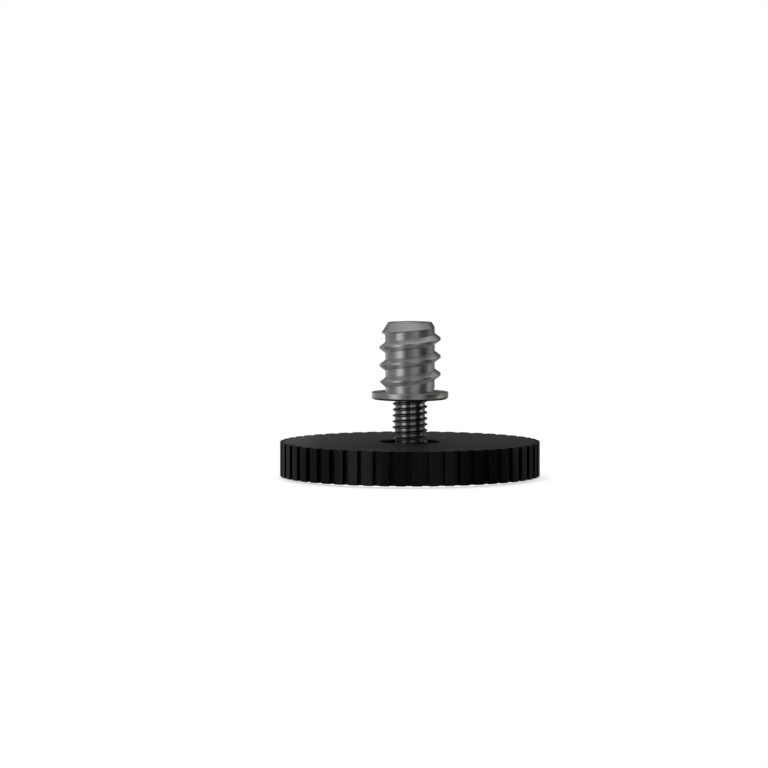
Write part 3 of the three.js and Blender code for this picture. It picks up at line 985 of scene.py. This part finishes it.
# How bright the room's walls are all the way round, by bearing in degrees: 0 is the camera's side, and
# 90 is on its right.
WALL_LEVELS = [
    (-180, 0.03), (-165, 0.13), (-140, 0.21), (-110, 0.2), (-80, 0.14), (-66, 0.14),  # the left
    (-60, 0.7), (-36, 0.8),  # a bright strip left of the camera
    (-31, 0.13), (-18, 0.05), (-4, 0.06), (8, 0.08), (16, 0.09),  # round the camera
    (20, 0.25), (41, 0.24),  # a dimmer strip right of the camera
    (46, 0.04), (54, 0.01), (88, 0.01), (92, 0.05), (104, 0.05),  # the right, nearly black
    (109, 0.17), (126, 0.11), (150, 0.05), (180, 0.03),  # the right rear
]
# The other edges in the room are soft: each goes from the first height above or below the horizon to the
# second, both as sines. The white card behind the foot also has sides, in the direction's Y.
CEILING_EDGE = (0.3, 0.85)
CEILING_COLOUR = (0.42, 0.42, 0.42)
GROUND_EDGE = (0.16, 0.5)
GROUND_COLOUR = (0.4, 0.4, 0.4)
CARD_SIDES = (0.97, 0.98)
CARD_TOP = (0, 0.02)
CARD_BOTTOM = (0.15, 0.25)
WHITE = (1.0, 1.0, 1.0)

# No piece mirrors the floor, but it would stop the rays that are aimed at the room itself, so none are.
world = bpy.data.worlds.new("studio room")
bpy.context.scene.world = world
world.use_nodes = True
world.cycles.sampling_method = "NONE"
room_tree = world.node_tree
room_tree.nodes.clear()
room = Shade(room_tree)
direction = room.node("ShaderNodeTexCoord", {}, {}, "Generated")
bearing = room.math("ARCTAN2", direction.axis("X"), direction.axis("Y") * -1)
stops = [((degrees + 180) / 360, (level,) * 3) for degrees, level in WALL_LEVELS]
walls = room.node("ShaderNodeValToRGB", {"stops": stops}, {"Fac": bearing / TURN + 0.5})
up = direction.axis("Z")
down = up * -1
ceiling = up.step(*CEILING_EDGE)
ground = down.step(*GROUND_EDGE)
room_colour = ground.blend(ceiling.blend(walls, CEILING_COLOUR), GROUND_COLOUR)
card = direction.axis("Y").step(*CARD_SIDES) * down.step(*CARD_TOP) * (1 - down.step(*CARD_BOTTOM))
mirrored = room.node("ShaderNodeLightPath", {}, {}, "Is Glossy Ray")
refracted = room.node("ShaderNodeLightPath", {}, {}, "Is Transmission Ray")
seen_as_white = room.node("ShaderNodeLightPath", {}, {}, "Is Camera Ray") + card * (mirrored + refracted)
backdrop = seen_as_white.blend(room_colour, WHITE)
light = room.node("ShaderNodeBackground", {}, {"Color": backdrop})
room.node("ShaderNodeOutputWorld", {}, {"Surface": light})

OBJECT_MIDDLE = Vector((0, 0, 0.006))
OVERHEAD_PLACE = (-0.05, 0.1, 0.5)
OVERHEAD_SIZE = 0.4
REAR_STRIP_BACK = 0.04
REAR_STRIP_LIFT = 0.013
REAR_STRIP_HEIGHT = 0.012
WARM_WHITE = (1, 0.92, 0.72)
STUD_STRIP_REACH = 0.06
STUD_STRIP_LIFT = 0.0095
STUD_STRIP_HEIGHT = 0.007


def softbox(name, place, width, height, brightness, colour=WHITE):
    """A soft rectangular lamp that faces the object. It isn't seen, and a brightness of 1 is white."""
    lamp = bpy.data.lights.new(name, "AREA")
    lamp.color = colour
    lamp.shape = "RECTANGLE"
    lamp.size = width
    lamp.size_y = height
    lamp.energy = brightness * math.pi * width * height
    made = bpy.data.objects.new(name, lamp)
    made.location = place
    made.rotation_euler = (OBJECT_MIDDLE - made.location).to_track_quat("-Z", "Y").to_euler()
    made.visible_camera = False
    bpy.context.collection.objects.link(made)
    return made


def rear_strip(name, sideways, width, brightness, colour=WHITE):
    """A low lamp behind the foot, which the wheel's top face mirrors towards the camera."""
    place = (sideways, REAR_STRIP_BACK, REAR_STRIP_LIFT)
    softbox(name, place, width, REAR_STRIP_HEIGHT, brightness, colour)


def stud_strip(name, degrees, width, brightness):
    """A small lamp beside the foot, so low that the stud mirrors it, and too high for the wheel's rim."""
    sideways = STUD_STRIP_REACH * math.sin(math.radians(degrees))
    forward = STUD_STRIP_REACH * math.cos(math.radians(degrees))
    softbox(name, (sideways, -forward, STUD_STRIP_LIFT), width, STUD_STRIP_HEIGHT, brightness)


overhead = softbox("overhead softbox", OVERHEAD_PLACE, OVERHEAD_SIZE, OVERHEAD_SIZE, brightness=4.1)
overhead.visible_glossy = False
rear_strip("rear strip", sideways=0, width=0.16, brightness=0.14, colour=WARM_WHITE)
rear_strip("rear left strip", sideways=-0.026, width=0.02, brightness=0.4)
stud_strip("front stud strip", degrees=10, width=0.008, brightness=0.75)
stud_strip("right stud strip", degrees=98, width=0.03, brightness=0.62)

# The camera looks from the photograph's angle. Its focal length is in pixels of the image, and so is how
# far it aims to the left of the centre of the wheel's top face, and above it.
CAMERA_DISTANCE = 1.0
CAMERA_AZIMUTH = math.radians(0.4)
CAMERA_ELEVATION = math.radians(4.57)
IMAGE_WIDTH = 768
LENS_PIXELS = 5905
AIM_LEFT = 26
AIM_UP = 57.3
SENSOR_WIDTH = 36
CLIP_START = 0.01
CLIP_END = 20

camera_data = bpy.data.cameras.new("camera")
camera_data.sensor_width = SENSOR_WIDTH
camera_data.lens = LENS_PIXELS / IMAGE_WIDTH * SENSOR_WIDTH
camera_data.clip_start = CLIP_START
camera_data.clip_end = CLIP_END
camera = bpy.data.objects.new("camera", camera_data)
wheel_top_centre = Vector((0, 0, WHEEL_TOP * MM))
outward = Vector((
    math.sin(CAMERA_AZIMUTH) * math.cos(CAMERA_ELEVATION),
    -math.cos(CAMERA_AZIMUTH) * math.cos(CAMERA_ELEVATION),
    math.sin(CAMERA_ELEVATION),
))
camera.location = wheel_top_centre + outward * CAMERA_DISTANCE
camera.rotation_euler = (
    math.radians(90) - CAMERA_ELEVATION + math.atan(AIM_UP / LENS_PIXELS),
    0,
    CAMERA_AZIMUTH + math.atan(AIM_LEFT / LENS_PIXELS),
)
bpy.context.collection.objects.link(camera)
bpy.context.scene.camera = camera
